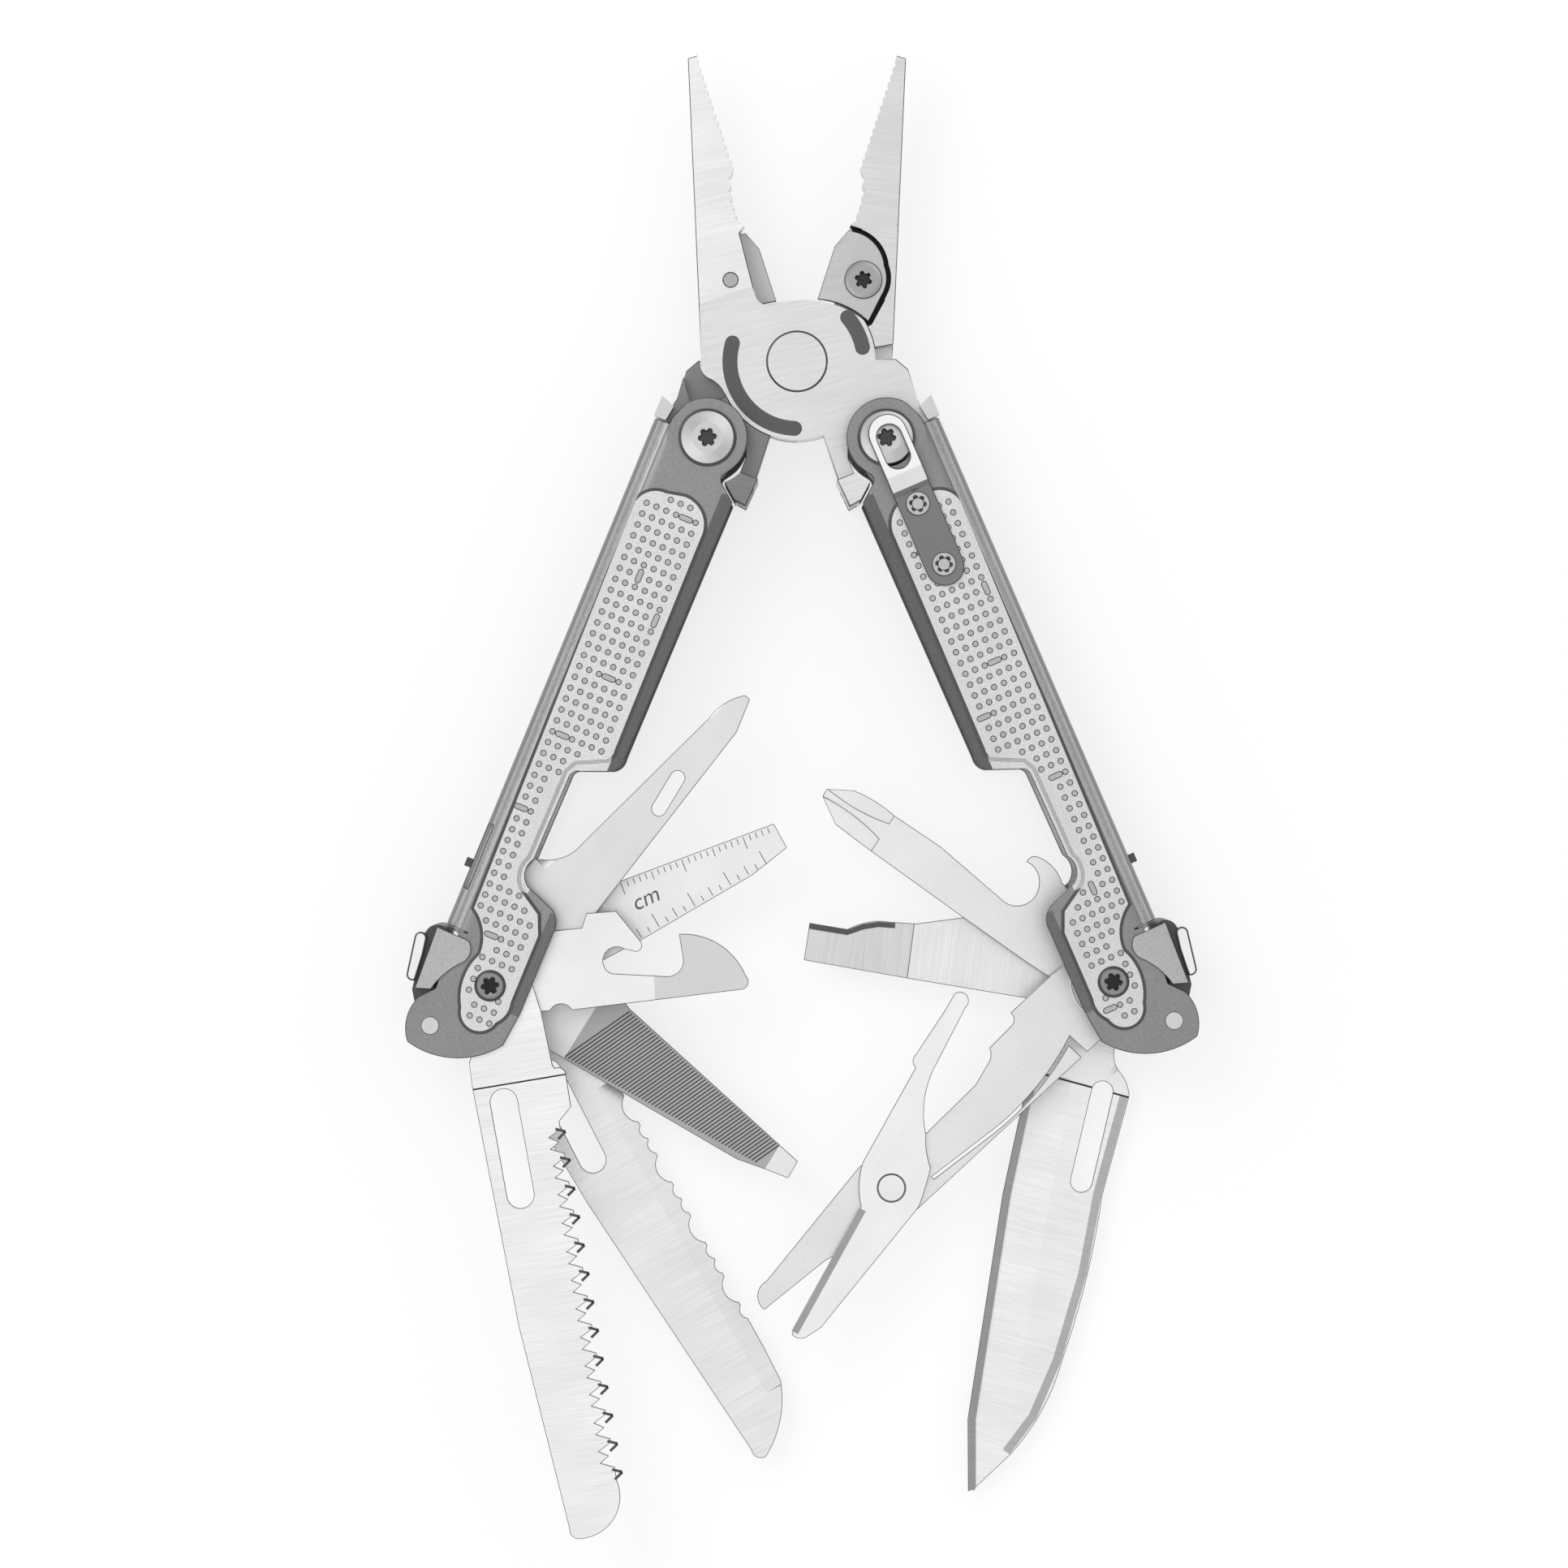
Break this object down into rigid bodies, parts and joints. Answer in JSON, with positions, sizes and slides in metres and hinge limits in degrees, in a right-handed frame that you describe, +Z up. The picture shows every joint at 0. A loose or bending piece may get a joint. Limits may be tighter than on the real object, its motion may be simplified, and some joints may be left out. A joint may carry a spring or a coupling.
{
  "type": "multi tool",
  "caption": "Folding pocket multi tool: needle-nose pliers between two handles that carry blades, saw, file, scissors, openers and drivers.",
  "frame": {"origin": "on the surface that the tool lies on, under the middle of its bounding box", "axes": "+Z up through the thickness, +Y towards the pliers' nose, +X towards the handle with the pocket clip"},
  "size_m": [0.1208, 0.2266, 0.0218],
  "materials": {
    "bead_blasted_steel": "bead blasted",
    "brushed_steel": "fine brushed",
    "plate_steel": "satin, grip panel bright",
    "polished_steel": "polished",
    "dark_steel": "dark satin",
    "satin_screw_steel": "turned satin"
  },
  "bodies": {
    "front_jaw": {"jaw_front": "brushed_steel", "cutter_front": "brushed_steel", "cutter_front_screw": "satin_screw_steel", "plier_pivot": "brushed_steel"},
    "back_jaw": {"jaw_back": "brushed_steel", "cutter_back": "brushed_steel", "cutter_back_screw": "satin_screw_steel"},
    "left_handle": {"left_front_plate": "plate_steel", "left_handle_pivot": "satin_screw_steel", "left_tool_pivot": "satin_screw_steel", "left_tool_spacers": "dark_steel", "left_lock_pin": "satin_screw_steel", "left_spring_tab": "dark_steel", "left_back_plate": "plate_steel", "left_pivot_washers": "dark_steel", "left_stop_blocks": "polished_steel"},
    "right_handle": {"right_front_plate": "plate_steel", "right_handle_pivot": "satin_screw_steel", "right_tool_pivot": "satin_screw_steel", "right_tool_spacers": "dark_steel", "right_lock_pin": "satin_screw_steel", "right_spring_tab": "dark_steel", "right_pocket_clip": "polished_steel", "right_clip_screws": "satin_screw_steel", "right_back_plate": "plate_steel", "right_pivot_washers": "dark_steel", "right_stop_blocks": "polished_steel"},
    "left_lock": {"left_lock_lever": "dark_steel", "left_lock_button": "polished_steel"},
    "right_lock": {"right_lock_lever": "dark_steel", "right_lock_button": "polished_steel"},
    "scissors": {"scissors_frame": "bead_blasted_steel", "scissors_rivet": "satin_screw_steel"},
    "scissors_upper_leaf": {"scissors_lever": "bead_blasted_steel"},
    "saw": {"saw": "bead_blasted_steel"},
    "can_opener": {"can_opener": "bead_blasted_steel"},
    "awl": {"awl": "bead_blasted_steel"},
    "ruler_driver": {"ruler_driver": "bead_blasted_steel"},
    "file": {"file": "bead_blasted_steel"},
    "serrated_blade": {"serrated_blade": "bead_blasted_steel"},
    "phillips_driver": {"phillips_driver": "bead_blasted_steel"},
    "pry_driver": {"pry_driver": "bead_blasted_steel"},
    "knife_blade": {"knife_blade": "bead_blasted_steel"}
  },
  "joints": [
    {"name": "plier_pivot_turn", "type": "hinge", "parent": "front_jaw", "child": "back_jaw", "pos_m": [-0.00078, 0.06626, 0.00974], "axis": [0, 0, 1], "range_deg": [0, 31]},
    {"name": "left_handle_fold", "type": "hinge", "parent": "back_jaw", "child": "left_handle", "pos_m": [-0.01442, 0.0544, 0.00974], "axis": [0, 0, 1], "range_deg": [-174, 0]},
    {"name": "right_handle_fold", "type": "hinge", "parent": "front_jaw", "child": "right_handle", "pos_m": [0.01285, 0.0544, 0.00974], "axis": [0, 0, 1], "range_deg": [0, 174]},
    {"name": "saw_swing", "type": "hinge", "parent": "left_handle", "child": "saw", "pos_m": [-0.04744, -0.02901, 0.0172], "axis": [0, 0, 1], "range_deg": [-28.4, 146.1]},
    {"name": "can_opener_swing", "type": "hinge", "parent": "left_handle", "child": "can_opener", "pos_m": [-0.04744, -0.02901, 0.01592], "axis": [0, 0, 1], "range_deg": [-111.2, 65.8]},
    {"name": "awl_swing", "type": "hinge", "parent": "left_handle", "child": "awl", "pos_m": [-0.04744, -0.02901, 0.01459], "axis": [0, 0, 1], "range_deg": [-157.7, 18.3]},
    {"name": "ruler_driver_swing", "type": "hinge", "parent": "left_handle", "child": "ruler_driver", "pos_m": [-0.04744, -0.02901, 0.01108], "axis": [0, 0, 1], "range_deg": [-136.8, 40.2]},
    {"name": "file_swing", "type": "hinge", "parent": "left_handle", "child": "file", "pos_m": [-0.04744, -0.02901, 0.00757], "axis": [0, 0, 1], "range_deg": [-77.4, 98.6]},
    {"name": "serrated_blade_swing", "type": "hinge", "parent": "left_handle", "child": "serrated_blade", "pos_m": [-0.04744, -0.02901, 0.00446], "axis": [0, 0, 1], "range_deg": [-48.5, 126]},
    {"name": "scissors_swing", "type": "hinge", "parent": "right_handle", "child": "scissors", "pos_m": [0.04733, -0.02842, 0.01276], "axis": [0, 0, 1], "range_deg": [-111.6, 62.4]},
    {"name": "phillips_driver_swing", "type": "hinge", "parent": "right_handle", "child": "phillips_driver", "pos_m": [0.04733, -0.02842, 0.0094], "axis": [0, 0, 1], "range_deg": [-33.3, 143.7]},
    {"name": "pry_driver_swing", "type": "hinge", "parent": "right_handle", "child": "pry_driver", "pos_m": [0.04733, -0.02842, 0.00614], "axis": [0, 0, 1], "range_deg": [-59.1, 117.9]},
    {"name": "knife_blade_swing", "type": "hinge", "parent": "right_handle", "child": "knife_blade", "pos_m": [0.04733, -0.02842, 0.00258], "axis": [0, 0, 1], "range_deg": [-139.2, 35.6]},
    {"name": "scissors_squeeze", "type": "hinge", "parent": "scissors", "child": "scissors_upper_leaf", "pos_m": [0.01367, -0.0601, 0.01276], "axis": [0, 0, 1], "range_deg": [-16, 0], "stiffness_Nm_per_rad": 0.03},
    {"name": "left_lock_press", "type": "hinge", "parent": "left_handle", "child": "left_lock", "pos_m": [-0.0566, -0.03508, 0.00974], "axis": [0, 0, 1], "range_deg": [-2.5, 0], "stiffness_Nm_per_rad": 0.5},
    {"name": "right_lock_press", "type": "hinge", "parent": "right_handle", "child": "right_lock", "pos_m": [0.05659, -0.03433, 0.00974], "axis": [0, 0, 1], "range_deg": [0, 2.5], "stiffness_Nm_per_rad": 0.5}
  ]
}
